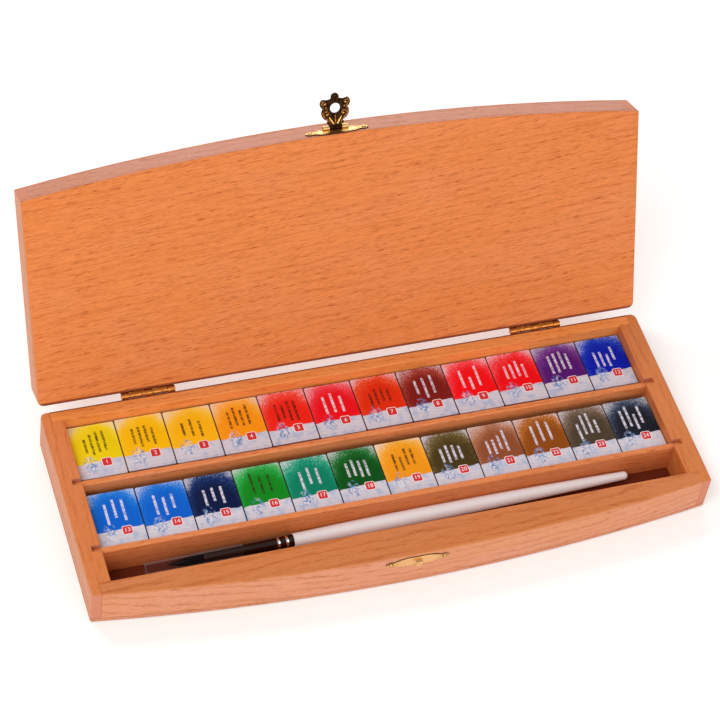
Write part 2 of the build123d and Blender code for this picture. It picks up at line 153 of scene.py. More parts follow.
class Finish:
    """One material: its shader, and the nodes that vary it over the surface."""

    def __init__(self, name, settings=None):
        self.material = bpy.data.materials.new(name)
        self.material.use_nodes = True
        self.tree = self.material.node_tree
        self.tree.nodes.clear()
        self.shader = self.node("ShaderNodeBsdfPrincipled", {}, settings or {})
        self.output = self.node(
            "ShaderNodeOutputMaterial", {}, {"Surface": self.shader.outputs[0]}
        )

    def node(self, kind, settings, inputs):
        node = self.tree.nodes.new(kind)
        for name, setting in settings.items():
            setattr(node, name, setting)
        for name, source in inputs.items():
            self.feed(node.inputs[name], source)
        return node

    def feed(self, socket, source):
        if isinstance(source, Value):
            source = source.socket
        if isinstance(source, bpy.types.NodeSocket):
            self.tree.links.new(source, socket)
        else:
            socket.default_value = source

    def spot(self, turn=Matrix(), move=(0, 0, 0), scale=(1000, 1000, 1000)):
        """Where a point is on the piece: in millimetres, turned and moved, or scaled otherwise."""
        source = self.node("ShaderNodeTexCoord", {}, {})
        settings = {"Location": move, "Rotation": turn.to_euler(), "Scale": scale}
        inputs = {"Vector": source.outputs["Object"], **settings}
        return self.node("ShaderNodeMapping", {"vector_type": "POINT"}, inputs).outputs[0]

    def facing(self, turn=Matrix()):
        """The surface's direction, turned as the spot is."""
        source = self.node("ShaderNodeTexCoord", {}, {})
        inputs = {"Vector": source.outputs["Normal"], "Rotation": turn.to_euler()}
        return self.node("ShaderNodeMapping", {"vector_type": "POINT"}, inputs).outputs[0]

    def parts(self, vector):
        """The three numbers of a vector."""
        node = self.node("ShaderNodeSeparateXYZ", {}, {0: vector})
        return [Value(self, output) for output in node.outputs]

    def gather(self, x, y, z):
        """A vector from three numbers."""
        return self.node("ShaderNodeCombineXYZ", {}, {0: x, 1: y, 2: z}).outputs[0]

    def stretch(self, vector, amounts):
        node = self.node("ShaderNodeVectorMath", {"operation": "MULTIPLY"}, {0: vector, 1: amounts})
        return node.outputs[0]

    def clouds(self, vector, size, detail=2.0, rough=0.5):
        """Cloudy noise between 0 and 1."""
        inputs = {"Vector": vector, "Scale": size, "Detail": detail, "Roughness": rough}
        return Value(self, self.node("ShaderNodeTexNoise", {}, inputs).outputs[0])

    def grains(self, vector):
        """How far each point is from the nearest of many scattered seeds."""
        inputs = {"Vector": vector, "Scale": 1.0}
        return Value(self, self.node("ShaderNodeTexVoronoi", {}, inputs).outputs["Distance"])

    def blend(self, amount, colour, other, way="MIX"):
        """One colour changed into another by an amount."""
        node = self.node(
            "ShaderNodeMix",
            {"data_type": "RGBA", "blend_type": way},
            {0: amount, 6: colour, 7: other},
        )
        return node.outputs[2]

    def relief(self, height, depth, strength=1.0):
        """Bumps as deep as the height says, in millimetres."""
        inputs = {"Height": height, "Distance": depth / 1000, "Strength": strength}
        bump = self.node("ShaderNodeBump", {}, inputs)
        self.feed(self.shader.inputs["Normal"], bump.outputs[0])

    def colour(self, source):
        self.feed(self.shader.inputs["Base Color"], source)

    def roughness(self, source):
        self.feed(self.shader.inputs["Roughness"], source)


def beech(
    name, tone, seed, turn=Matrix(), contrast=1.0, lines=1.0, sheen_edge_tone=None, end_tone=None,
    sheen_face_tone=None, face_way=-1.0, painted_gap_shade=None,
):
    """Varnished steamed beech, its grain along X once turned: fibres, ray flecks, growth lines.

    A board may have other tones on its ends (its end grain), and on its edges and its outer face
    (the one towards face_way along Y), where they are painted sheen and light; and a painted gap
    shadow: a turn, a part of the place turned so, where the darkening starts and where it is full.
    """
    wood = Finish(name, {"Coat Weight": 0.05, "Coat Roughness": 0.35, "Specular IOR Level": 0.25})
    jumble = random.Random(seed)
    shift = [jumble.uniform(-400, 400), jumble.uniform(-4, 4), jumble.uniform(-3, 3)]
    place = wood.spot(turn, shift)
    along, across, depth = wood.parts(place)
    sway = wood.clouds(wood.stretch(place, (0.011, 0.05, 0.05)), 1.0, 2.0) - 0.5
    ripple = wood.clouds(wood.stretch(place, (0.11, 0.22, 0.22)), 1.0, 2.0) - 0.5
    beside = across - 8.0
    below = depth + along * 0.035 + 46.0
    from_heart = (below * below + beside * beside) ** 0.5
    rings = (from_heart * 1.9 + sway * 18 + ripple * 2.8).math("SINE") * 0.5 + 0.5
    broken = wood.clouds(wood.stretch(place, (0.05, 0.3, 0.3)), 1.0, 2.0).rise(0.35, 0.6)
    late = rings ** 5.0 * broken
    patches = wood.clouds(wood.stretch(place, (0.02, 0.06, 0.06)), 1.0, 3.0)
    fibres = wood.clouds(wood.stretch(place, (0.06, 1.9, 1.9)), 1.0, 4.0, 0.65)
    wander = wood.gather(along, across + sway * 5 + ripple * 1.9, depth + sway * 3)
    ragged = (wood.clouds(wood.stretch(wander, (0.6, 3.5, 3.5)), 1.0, 2.0) - 0.5) * 0.2
    dashes = 1 - (wood.grains(wood.stretch(wander, (0.13, 1.15, 0.8))) + ragged).rise(0.16, 0.30)
    ticks = 1 - (wood.grains(wood.stretch(wander, (0.22, 1.9, 1.4))) + ragged).rise(0.18, 0.34)
    threads = wood.clouds(wood.stretch(wander, (0.11, 2.1, 2.1)), 1.0, 2.0, 0.6)
    presence = wood.clouds(wood.stretch(place, (0.03, 0.11, 0.11)), 1.0, 1.0).rise(0.28, 0.58)
    in_line = rings * rings * 0.7 + 0.3
    flecks = dashes * in_line * (presence * 0.4 + 0.6)
    pointing = wood.parts(wood.facing(turn))
    end_grain = abs(pointing[0]).rise(0.55, 0.85)

    def tinted(colour, amount, red, green, blue):
        return wood.blend(amount, colour, (red, green, blue, 1.0), "MULTIPLY")

    end_colour = end_tone or tinted(tone, 1.0, 0.84, 0.8, 0.96)
    # Painted sheen and light: edges and the outer face take paler, pinker tones than the rest of
    # the board.
    if sheen_edge_tone:
        tone = wood.blend(abs(pointing[2]).rise(0.4, 0.8), sheen_edge_tone, tone)
    if sheen_face_tone:
        tone = wood.blend((pointing[1] * face_way).rise(0.5, 0.9), tone, sheen_face_tone)

    colour = tinted(tone, patches.rise(0.35, 0.68) * 0.6, 1.0, 1.06, 1.45)
    colour = tinted(colour, fibres.rise(0.45, 0.72) * 0.5 * contrast, 1.12, 1.15, 1.22)
    colour = tinted(colour, (1 - fibres).rise(0.5, 0.8) * 0.5 * contrast, 0.86, 0.77, 0.64)
    colour = tinted(colour, late * (0.65 * lines), 0.86, 0.74, 0.58)
    colour = tinted(colour, threads.rise(0.52, 0.66) * 0.6 * contrast, 0.82, 0.69, 0.53)
    colour = tinted(colour, (1 - threads).rise(0.56, 0.68) * 0.4 * contrast, 1.08, 1.10, 1.18)
    colour = tinted(colour, flecks * 0.95 * contrast, 0.68, 0.48, 0.28)
    colour = tinted(colour, ticks * 0.45 * contrast, 0.76, 0.59, 0.40)
    pores = wood.clouds(wood.stretch(place, (1.2, 3.0, 3.0)), 1.0, 2.0).rise(0.42, 0.66)
    end_colour = tinted(end_colour, pores * 0.55, 0.74, 0.62, 0.55)
    colour = wood.blend(end_grain, colour, end_colour)
    # Painted gap shadow: a dark band along the board's edge beside the gap between lid and tray,
    # where shade falls.
    if painted_gap_shade:
        gap_shade_turn, part, clear, full = painted_gap_shade
        spot = wood.parts(wood.spot(gap_shade_turn))[part]
        colour = tinted(colour, spot.rise(clear, full) * 0.9, 0.28, 0.15, 0.08)
    wood.colour(colour)
    wood.roughness(fibres * 0.16 + flecks * 0.12 + end_grain * 0.1 + 0.46)
    wood.relief(fibres * 0.5 - flecks * 0.8 - threads.rise(0.52, 0.64) * 0.6, 0.06, 0.6)
    return wood


def brass(name, tone, tarnish, spread, streak_way, rough, turn=Matrix(), sheet_face=None):
    """Brass, brushed one way, tarnished in patches, and painted dark on the cut edges of a sheet as
    the shadow line along the sheet's edge.

    The sheet's face lies at sheet_face along the turned Y, and its cut edges lie behind it.
    """
    metal = Finish(name, {"Metallic": 1.0})
    place = metal.spot(turn)
    brushed = metal.clouds(metal.stretch(place, streak_way), 1.0, 3.0, 0.6)
    cloud = metal.clouds(place, 0.9, 4.0, 0.6)
    specks = metal.clouds(place, 3.5, 2.0)
    stain = cloud.rise(spread, spread + 0.28)
    colour = metal.blend(brushed.rise(0.35, 0.7) * 0.55, tone, shade(tone, 0.7, 0.6, 0.45))
    colour = metal.blend(stain * 0.8, colour, tarnish)
    if sheet_face is not None:
        # Painted shadow: the sheet's edges are darkened to stand for the shadow line between the
        # plate and the wood.
        cut = 1 - abs(metal.parts(metal.facing(turn))[1]).rise(0.25, 0.75)
        behind = metal.parts(place)[1].rise(sheet_face - 0.15, sheet_face)
        colour = metal.blend(cut * behind, colour, shade(tarnish, 0.16, 0.1, 0.08))
    metal.colour(colour)
    metal.roughness(brushed * 0.12 + stain * 0.22 + specks * 0.06 + rough)
    metal.relief(brushed * 0.5 + specks * 0.5, 0.03, 0.6)
    return metal


def label(number, deep, wash, marks, centre, size):
    """A printed wrapper: a grainy wash of colour over a pale band, plain bars, soft strokes.

    Across the label u runs from -0.5 to 0.5, and v does so from its front end to its back.
    """
    paper = Finish(
        "label_%02d" % number,
        {"Coat Weight": 0.02, "Coat Roughness": 0.3, "Specular IOR Level": 0.1},
    )
    jumble = random.Random(900 + number)
    scale = (1000 / size[0], 1000 / size[1], 1000 / size[0])
    place = paper.spot(Matrix(), (-centre[0] / size[0], -centre[1] / size[1], number * 3.7), scale)
    u, v, _ = paper.parts(place)
    grit = paper.clouds(place, 42.0, 2.0, 0.7)
    blots = paper.clouds(place, 4.0, 3.0)
    sideways = (u - 0.03) * 1.45
    lengthways = (v + 0.12) * 1.5
    reach = (sideways * sideways + lengthways * lengthways) ** 0.5 + (blots - 0.5) * 0.3
    core = 1 - (reach + (grit - 0.5) * 0.8).rise(0.6, 1.0)
    faded = (reach + (grit - 0.5) * 0.7).rise(0.86, 1.16)
    bare = (0.78, 0.77, 0.84, 1.0)
    pale = tuple(0.36 * part + 0.64 * white for part, white in zip(wash, bare))
    field = paper.blend(core, wash, deep)
    field = paper.blend(faded * 0.9, field, pale)

    shore = v + 0.2 + (blots - 0.5) * 0.06 - u * 0.04
    band_colour = paper.blend(
        paper.clouds(place, 7.0, 3.0).rise(0.46, 0.7) * 0.7,
        paint(212, 208, 218),
        paint(160, 180, 216),
    )
    lines = (v * 95.0 + u * 4.0).math("SINE").rise(0.6, 1.0)
    band_colour = paper.blend(lines * 0.22, band_colour, paint(170, 166, 176))
    colour = paper.blend(shore.rise(-0.006, 0.006), band_colour, field)

    bars = None
    count = jumble.choice((3, 3, 4, 4))
    for bar in range(count):
        middle = -0.27 + 0.54 * (bar + 0.5) / count
        start = jumble.uniform(-0.1, 0.02)
        end = start + jumble.uniform(0.24, 0.4)
        across = 1 - abs(u - middle).rise(0.020, 0.034)
        length = v.rise(start - 0.01, start + 0.01) * (1 - v.rise(end - 0.01, end + 0.01))
        one = across * length
        bars = one if bars is None else bars + one
    worn = paper.clouds(paper.stretch(place, (0.4, 1.0, 1.0)), 34.0, 1.0).rise(0.38, 0.56)
    colour = paper.blend(bars * (worn * 0.5 + 0.35), colour, marks)

    swirl = paper.clouds(place, 11.0, 2.0)
    left = (u + 0.2) * 7.0
    front = (v + 0.24) * 6.2
    near = 1 - (left * left + front * front).rise(0.5, 1.3)
    stroke = 1 - abs(swirl - 0.5).rise(0.015, 0.05)
    gleam = 1 - abs(swirl - 0.41).rise(0.015, 0.05)
    colour = paper.blend(gleam * near * 0.5, colour, paint(224, 228, 240))
    colour = paper.blend(stroke * near * 0.85, colour, paint(84, 128, 190))

    fold_end = -0.468 if number > PANS_IN_ROW else -0.486
    fold = 1 - (v + (blots - 0.5) * 0.012).rise(fold_end - 0.008, fold_end)
    colour = paper.blend(fold * 0.75, colour, paint(128, 112, 112))
    # The sides take the label's deep colour, which the wrapper has there, darkened and greyed as
    # painted shade in the narrow gaps between the pans.
    up = paper.parts(paper.facing())[2].rise(0.35, 0.7)
    side = paper.blend(blots.rise(0.3, 0.7) * 0.6 + 0.2, shade(deep, 0.35), paint(104, 99, 108))
    paper.colour(paper.blend(up, side, colour))
    paper.roughness(grit * 0.12 + blots * 0.1 + 0.42)
    creases = paper.clouds(paper.stretch(place, (1.0, 2.6, 1.0)), 3.0, 3.0)
    paper.relief(creases + grit * 0.06, 0.25, 0.4)
    return paper


# Shaping

def cleaned(node):
    """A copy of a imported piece's mesh, with its loose triangles joined up, in millimetres."""
    mesh = bmesh.new()
    mesh.from_mesh(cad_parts[node].data)
    bmesh.ops.remove_doubles(mesh, verts=mesh.verts, dist=2e-6)
    bmesh.ops.dissolve_limit(
        mesh, angle_limit=math.radians(0.6), verts=mesh.verts, edges=mesh.edges
    )
    mesh.transform(Matrix.Scale(1000, 4))
    return mesh


def add_piece(name, body, mesh, finishes, place=Matrix(), stands_for=(), smooth=32.0):
    """Make a finished piece of a mesh in millimetres and let it ride on a body."""
    mesh.transform(TO_METRES @ place)
    data = bpy.data.meshes.new(name)
    mesh.to_mesh(data)
    mesh.free()
    for finish in finishes:
        data.materials.append(finish.material)
    data.shade_smooth()
    data.set_sharp_from_angle(angle=math.radians(smooth))
    piece = bpy.data.objects.new(name, data)
    bpy.context.scene.collection.objects.link(piece)
    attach(piece, body)
    if stands_for:
        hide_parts(*stands_for)
    return piece


def dress(node, body, finish, width):
    """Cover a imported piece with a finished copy, its sharp edges rounded over a width."""
    piece = add_piece(
        node + "_finished", body, cleaned(node), [finish], stands_for=[node]
    )
    bevel = piece.modifiers.new("soft edges", "BEVEL")
    bevel.width = width / 1000
    bevel.segments = 2
    bevel.limit_method = "ANGLE"
    bevel.angle_limit = math.radians(28)


def turned(profile, sides, closed=False):
    """A round form about the X axis, from points (along, radius)."""
    mesh = bmesh.new()
    corners = [mesh.verts.new((x, 0, radius)) for x, radius in profile]
    for first, second in zip(corners, corners[1:]):
        mesh.edges.new((first, second))
    if closed:
        mesh.edges.new((corners[-1], corners[0]))
    bmesh.ops.spin(
        mesh,
        geom=list(mesh.verts) + list(mesh.edges),
        cent=(0, 0, 0),
        axis=(1, 0, 0),
        angle=math.tau,
        steps=sides,
        use_merge=True,
    )
    bmesh.ops.remove_doubles(mesh, verts=mesh.verts, dist=1e-5)
    bmesh.ops.recalc_face_normals(mesh, faces=mesh.faces)
    return mesh


def grown_from(curve):
    """The mesh that a curve or a text makes, which is then thrown away."""
    holder = bpy.data.objects.new(curve.name, curve)
    data = bpy.data.meshes.new_from_object(holder)
    mesh = bmesh.new()
    mesh.from_mesh(data)
    bpy.data.objects.remove(holder)
    bpy.data.curves.remove(curve)
    bpy.data.meshes.remove(data)
    bmesh.ops.remove_doubles(mesh, verts=mesh.verts, dist=1e-4)
    return mesh


def merged(target, addition, place=Matrix(), slot=None):
    """Add one mesh to another, moved to its place, with its faces on a material slot if named."""
    addition.transform(place)
    spare = bpy.data.meshes.new("spare")
    addition.to_mesh(spare)
    addition.free()
    before = len(target.faces)
    target.from_mesh(spare)
    bpy.data.meshes.remove(spare)
    if slot is not None:
        target.faces.ensure_lookup_table()
        for face in target.faces[before:]:
            face.material_index = slot
    return target


def bead(points, widths, flat):
    """A tapered raised line through points (x, z) in the plane y = 0."""
    curve = bpy.data.curves.new("bead", "CURVE")
    curve.dimensions = "3D"
    curve.bevel_depth = 1.0
    curve.bevel_resolution = 2
    curve.resolution_u = 5
    curve.use_fill_caps = True
    spline = curve.splines.new("NURBS")
    spline.points.add(len(points) - 1)
    for point, (x, z), width in zip(spline.points, points, widths):
        point.co = (x, 0, z, 1)
        point.radius = width
    spline.use_endpoint_u = True
    spline.order_u = 3
    mesh = grown_from(curve)
    bmesh.ops.scale(mesh, vec=(1, flat, 1), verts=mesh.verts)
    bmesh.ops.recalc_face_normals(mesh, faces=mesh.faces)
    return mesh


def mirrored(mesh):
    """Add a form's mirror image across x = 0."""
    twin = mesh.copy()
    bmesh.ops.scale(twin, vec=(-1, 1, 1), verts=twin.verts)
    bmesh.ops.reverse_faces(twin, faces=twin.faces)
    return merged(mesh, twin)


def curl(centre, start_radius, end_radius, start, end, steps):
    """Points of a flat spiral, its angles in degrees."""
    points = []
    for step in range(steps + 1):
        share = step / steps
        radius = start_radius + (end_radius - start_radius) * share
        angle = math.radians(start + (end - start) * share)
        points.append((centre[0] + radius * math.cos(angle), centre[1] + radius * math.sin(angle)))
    return points


def tapering(count, widest, ends):
    """Widths that swell from the ends to the middle."""
    return [
        ends + (widest - ends) * math.sin(math.pi * (step + 0.35) / (count - 0.3))
        for step in range(count)
    ]


# Wood

def along_y(turn=Matrix()):
    """The turn that brings a board whose grain runs front to back into line with X."""
    return Matrix.Rotation(math.radians(-90), 4, "Z") @ turn


CLOSE_LID = Matrix.Rotation(math.radians(LID_ANGLE), 4, "X")
# How far the open lid, only turned back, still lies from its closed place along Y
LID_SHIFT = (CLOSE_LID @ HINGE_PIN - HINGE_PIN).y
LID_TONE = paint(222, 127, 61)
# Painted light: the back board is made lighter than the tray's other wood, against the shade the
# open lid casts on it.
BACK_LIT_TONE = paint(233, 141, 70)
TRAY_TONE = paint(222, 133, 75)
SIDE_TONE = paint(213, 124, 66)
# Painted shade: the right board is a little darker than the left, on the side away from the key
# lamp.
RIGHT_SHADED_TONE = paint(208, 122, 63)
FRONT_TONE = paint(207, 124, 68)
# Painted sheen and fill light: the paler, pinker tone of outer faces.
FACE_SHEEN_TONE = paint(213, 141, 99)
# Painted sheen: the duller pinkish tone of edges.
EDGE_SHEEN_TONE = paint(196, 125, 92)
END_TONE = paint(206, 130, 100)
# Painted shade: the tray's floor panel is far darker than its beech, for the deep shade in the
# compartments.
FLOOR_SHADE_TONE = paint(108, 42, 14)


def build_wood():
    upright = Matrix.Rotation(math.radians(90), 4, "X")
    slanted = Matrix.Rotation(math.radians(5), 4, "Z") @ CLOSE_LID
    # The outer faces, the edges, the lid panels' ends and the floor panel's edges and ends take the
    # painted sheen tones.
    side = {"sheen_face_tone": FACE_SHEEN_TONE, "end_tone": END_TONE, "contrast": 0.65, "lines": 1.2}
    left, right = {"face_way": 1.0, **side}, {"face_way": -1.0, **side}
    panel = {"sheen_edge_tone": EDGE_SHEEN_TONE, "end_tone": FACE_SHEEN_TONE, "contrast": 1.25}
    under = {"sheen_edge_tone": shade(FACE_SHEEN_TONE, 0.9), "end_tone": shade(FACE_SHEEN_TONE, 0.9)}
    front = {"sheen_face_tone": FACE_SHEEN_TONE, "contrast": 0.75, "lines": 1.6}
    # Painted gap shadows along the tray's back edge and the lid's lower edge, beside the hinge gap.
    back_gap_shade = {"painted_gap_shade": (Matrix(), 1, 51.1, 51.6)}
    lid_gap_shade = {"painted_gap_shade": (CLOSE_LID, 1, LID_SHIFT + 50.5, LID_SHIFT + 51.3)}
    boards = (
        ("tray_left_board", SIDE_TONE, along_y(), 0.2, left),
        ("tray_right_board", RIGHT_SHADED_TONE, along_y(), 0.2, right),
        ("tray_back_board", BACK_LIT_TONE, upright, 0.2, back_gap_shade),
        ("tray_front_board", FRONT_TONE, Matrix(), 0.2, front),
        ("tray_bottom_panel", FLOOR_SHADE_TONE, Matrix(), 0.2, under),
        ("rear_divider", TRAY_TONE, upright, 0.15, {}),
        ("front_divider", TRAY_TONE, upright, 0.15, {}),
        ("lid_left_rail", SIDE_TONE, along_y(CLOSE_LID), 0.15, left),
        ("lid_right_rail", SIDE_TONE, along_y(CLOSE_LID), 0.15, right),
        ("lid_back_rail", TRAY_TONE, CLOSE_LID, 0.15, {}),
        ("lid_front_rail", EDGE_SHEEN_TONE, CLOSE_LID, 0.15, {}),
        ("lid_inner_panel", LID_TONE, slanted, 0.2, {**panel, **lid_gap_shade}),
        ("lid_outer_panel", LID_TONE, slanted, 0.2, panel),
    )
    for seed, (node, tone, turn, width, tones) in enumerate(boards):
        body = "lid" if node.startswith("lid") else "tray"
        slot = body + "_wood"
        if "divider" in node:
            slot = "divider_wood"
        if "bottom" in node:
            slot = "floor_wood"
        finish = beech("beech_" + node, tone, seed + 3, turn, **tones)
        dress(node, body, finish, width)


# Hinges and latch

def domed_nail(radius, crown, shank, length):
    """A nail along +Y with a round head, the underside of its head at the origin."""
    profile = [(-crown, 0.0)]
    for step in range(1, 6):
        angle = math.radians(90 * step / 5)
        profile.append((-crown * math.cos(angle), radius * math.sin(angle)))
    profile += [(0.0, shank), (length - shank, shank), (length, 0.0)]
    mesh = turned(profile, 20)
    mesh.transform(Matrix.Rotation(math.radians(90), 4, "Z"))
    return mesh


def hinge_roots(way):
    """The brass that closes the gaps beside both hinges' barrels, above or below the pin."""
    roots = bmesh.new()
    for hinge in (-1, 1):
        spot = (hinge * HINGE_X, BACK_Y + 0.35, HINGE_PIN.z + way * 1.8)
        size = Matrix.Diagonal((HINGE_LENGTH, 0.9, 1.0, 1.0))
        bmesh.ops.create_cube(roots, size=1.0, matrix=Matrix.Translation(spot) @ size)
    bmesh.ops.bevel(
        roots, geom=list(roots.edges), offset=0.12, segments=2, profile=0.5,
        affect="EDGES", material=-1,
    )
    return roots


def hinge_nails(way):
    """The four nails of both hinges' leaves, above or below the pin."""
    nails = bmesh.new()
    for hinge in (-1, 1):
        for end in (-1, 1):
            x = hinge * HINGE_X + end * HINGE_NAIL_X
            spot = (x, BACK_Y + HINGE_LEAF, HINGE_PIN.z + way * HINGE_NAIL_REACH)
            turn = Matrix.Translation(spot) @ Matrix.Rotation(math.pi, 4, "Z")
            merged(nails, domed_nail(1.3, 0.45, 0.6, 4.6), turn)
    return nails


def build_hinges():
    aged = brass(
        "hinge_brass", paint(222, 142, 68), paint(104, 54, 20), 0.44, (1.2, 9.0, 9.0), 0.26
    )
    bright = brass(
        "nail_brass", paint(232, 184, 104), paint(132, 88, 42), 0.55, (3.0, 3.0, 3.0), 0.22
    )
    for side in ("left", "right"):
        for node, body in (
            (side + "_hinge_tray_leaf", "tray"),
            (side + "_hinge_lid_leaf", "lid"),
            (side + "_hinge_pin", "tray"),
        ):
            dress(node, body, aged, 0.12)
    for body, way, place in (("tray", -1, Matrix()), ("lid", 1, TO_OPEN_LID)):
        add_piece(body + "_hinge_roots", body, hinge_roots(way), [aged], place)
        node = "hinge_nails_" + body
        add_piece(
            node + "_finished", body, hinge_nails(way), [bright], place,
            stands_for=[node],
        )
    return bright


def plate_trim(border_slot, width):
    """Raised lines on a latch plate: a border, and at each end a three-leaved flower and a ring."""
    trim = bmesh.new()
    border = [(0, 2.5), (4.3, 2.5), (8.0, 1.98), (11.4, 0.62)]
    for line in (border, [(x, -z) for x, z in border]):
        merged(trim, bead(line, [width, width, width, width * 0.6], 0.5), slot=border_slot)
    merged(trim, bead([(9.0, 0.0), (10.4, 0.0), (11.8, 0.0)], [0.12, 0.26, 0.1], 0.6), slot=0)
    for way in (-1, 1):
        leaf = [(9.4, way * 0.35), (10.2, way * 0.9), (11.2, way * 0.95)]
        merged(trim, bead(leaf, [0.1, 0.2, 0.08], 0.6), slot=0)
    ring = curl((PLATE_NAIL_X, 0), 1.05, 1.05, 0, 345, 14)
    merged(trim, bead(ring + ring[:2], [0.16] * (len(ring) + 2), 0.6), slot=1)
    merged(trim, bead([(13.9, 0.0), (14.5, 0.0), (15.0, 0.0)], [0.3, 0.26, 0.08], 0.6), slot=0)
    return mirrored(trim)


def build_latch(bright):
    brushed_up = (7.0, 7.0, 0.4)
    plate_face = BOW_Y - PLATE_SHEET
    pale = brass(
        "plate_brass", paint(240, 190, 134), paint(150, 94, 50), 0.6, brushed_up, 0.26,
        sheet_face=plate_face,
    )
    pale_lid = brass(
        "lid_plate_brass", paint(250, 206, 132), paint(150, 98, 44), 0.5, brushed_up, 0.26,
        turn=CLOSE_LID, sheet_face=LID_SHIFT + plate_face,
    )
    dark = brass("aged_brass", paint(72, 48, 28), paint(20, 12, 8), 0.36, (2.0, 2.0, 2.0), 0.42)
    rubbed = brass(
        "rubbed_brass", paint(176, 114, 58), paint(34, 21, 12), 0.36, (3.0, 3.0, 3.0), 0.26
    )
    for node, body, height, finish, place, border_slot, width in (
        ("latch_plate", "lid", LATCH_Z, pale_lid, TO_OPEN_LID, 1, 0.24),
        ("catch_plate", "tray", CATCH_Z, pale, Matrix(), 0, 0.17),
    ):
        dress(node, body, finish, 0.1)
        face = place @ Matrix.Translation((0, plate_face, height))
        trim = plate_trim(border_slot, width)
        add_piece(node + "_trim", body, trim, [bright, dark], face)
        nails = bmesh.new()
        for end in (-1, 1):
            spot = Matrix.Translation((end * PLATE_NAIL_X, 0, 0))
            merged(nails, domed_nail(0.85, 0.45, 0.45, 4.0), spot)
        nail_node = node + "_nails"
        add_piece(
            nail_node + "_finished", body, nails, [bright], face,
            stands_for=[nail_node],
        )
    lumps = bmesh.new()
    for way in (-1, 1):
        line = [(way * 1.05, 1.3), (way * 1.15, 0.3), (way * 1.0, -1.1)]
        merged(lumps, bead(line, [0.4, 0.62, 0.44], 0.34), slot=0)
    merged(lumps, bead([(0, 1.5), (0.1, 0.2), (0.2, -1.4)], [0.16, 0.22, 0.16], 0.8), slot=1)
    hook_face = Matrix.Translation((0, BOW_Y - HOOK_REACH, CATCH_Z))
    add_piece("hook_beads", "tray", lumps, [bright, dark], hook_face)
    dress("hasp", "hasp", dark, 0.14)
    dress("hasp_pin", "lid", bright, 0.1)
    front = hasp_scrolls()
    back = front.copy()
    bmesh.ops.scale(back, vec=(1, -0.55, 1), verts=back.verts)
    bmesh.ops.reverse_faces(back, faces=back.faces)
    bmesh.ops.translate(front, vec=(0, -HASP_SHEET / 2, 0), verts=front.verts)
    bmesh.ops.translate(back, vec=(0, HASP_SHEET / 2 - 0.02, 0), verts=back.verts)
    merged(front, back)
    add_piece("hasp_scrolls", "hasp", front, [bright, rubbed, dark], HASP_PLACE)


def hasp_scrolls():
    """The hasp's raised scrolls and ribs; the hasp hangs from a pin at the origin.

    The slots are 0 for bright brass, 1 for rubbed brass and 2 for dark brass.
    """
    work = bmesh.new()
    lower = [(2.6, -3.4)] + curl((4.1, -7.0), 1.75, 0.45, 60, -330, 12)
    merged(work, bead(lower, tapering(len(lower), 0.3, 0.12), 0.8), slot=1)
    upper = [(3.6, -9.4), (5.0, -9.9)] + curl((5.15, -12.1), 1.5, 0.35, 70, -300, 10)
    merged(work, bead(upper, tapering(len(upper), 0.28, 0.12), 0.8), slot=1)
    rim = [
        (3.9, -2.5), (3.3, -3.9), (5.3, -5.1), (6.15, -6.9), (5.6, -9.0), (5.5, -10.4),
        (6.7, -12.2), (6.6, -13.3), (5.5, -13.9),
    ]
    merged(work, bead(rim, tapering(len(rim), 0.2, 0.1), 0.8), slot=1)
    leaf = [(2.3, -12.6), (2.5, -13.6), (1.5, -14.6), (1.3, -15.9)]
    merged(work, bead(leaf, tapering(len(leaf), 0.24, 0.1), 0.8), slot=2)
    for spot, size in (((3.9, -6.9), 0.42), ((5.1, -12.0), 0.4), ((4.4, -10.4), 0.26)):
        drop = [(spot[0] - size, spot[1]), spot, (spot[0] + size, spot[1] + 0.1)]
        merged(work, bead(drop, [size * 0.4, size, size * 0.4], 0.9), slot=0)
    fan = [(0.9, -1.8), (2.0, -3.6), (3.0, -5.4)]
    merged(work, bead(fan, [0.42, 0.46, 0.14], 0.8), slot=0)
    wide = [(2.4, -1.9), (3.3, -2.7), (3.0, -4.0)]
    merged(work, bead(wide, [0.3, 0.36, 0.14], 0.8), slot=1)
    work = mirrored(work)
    rib = [(0, -1.8), (0, -3.4), (0, -5.4), (0, -6.4)]
    merged(work, bead(rib, [0.3, 0.4, 0.26, 0.1], 0.8), slot=1)
    merged(work, bead([(0, -12.9), (0, -14.4), (0, -16.3)], [0.16, 0.4, 0.22], 0.8), slot=2)
    ring = curl((0, -9.6), 2.85, 2.85, 0, 345, 18)
    merged(work, bead(ring + ring[:2], [0.2] * (len(ring) + 2), 0.8), slot=2)
    return work


# Pans

def shoulder_places(half, corner, steps):
    """Where a label's grid lines lie: close together near the rounded corners."""
    near = [half - corner * share for share in (0.0, 0.3, 0.62, 1.0)]
    inner = [(half - corner) * (1 - 2 * step / steps) for step in range(1, steps)]
    return sorted(near + inner + [-place for place in near])


def pan_top(number, size):
    """The height of a wrapped pan's top over a point of it: a low crown, leaning and rippled."""
    jumble = random.Random(40 + number)
    lean = (jumble.uniform(-0.05, 0.05), jumble.uniform(-0.08, 0.04))
    phase = jumble.uniform(0, math.tau)
    half_x, half_y = size[0] / 2, size[1] / 2

    def height(x, y):
        crown = 0.14 * (1 - (x / half_x) ** 2) * (1 - (y / half_y) ** 2)
        ripple = 0.025 * math.sin(x * 0.9 + phase) * math.sin(y * 0.5 + phase * 2)
        tilt = lean[0] * x / half_x + lean[1] * y / half_y
        return PAN_HEIGHT - 0.2 + crown + ripple + tilt

    return height


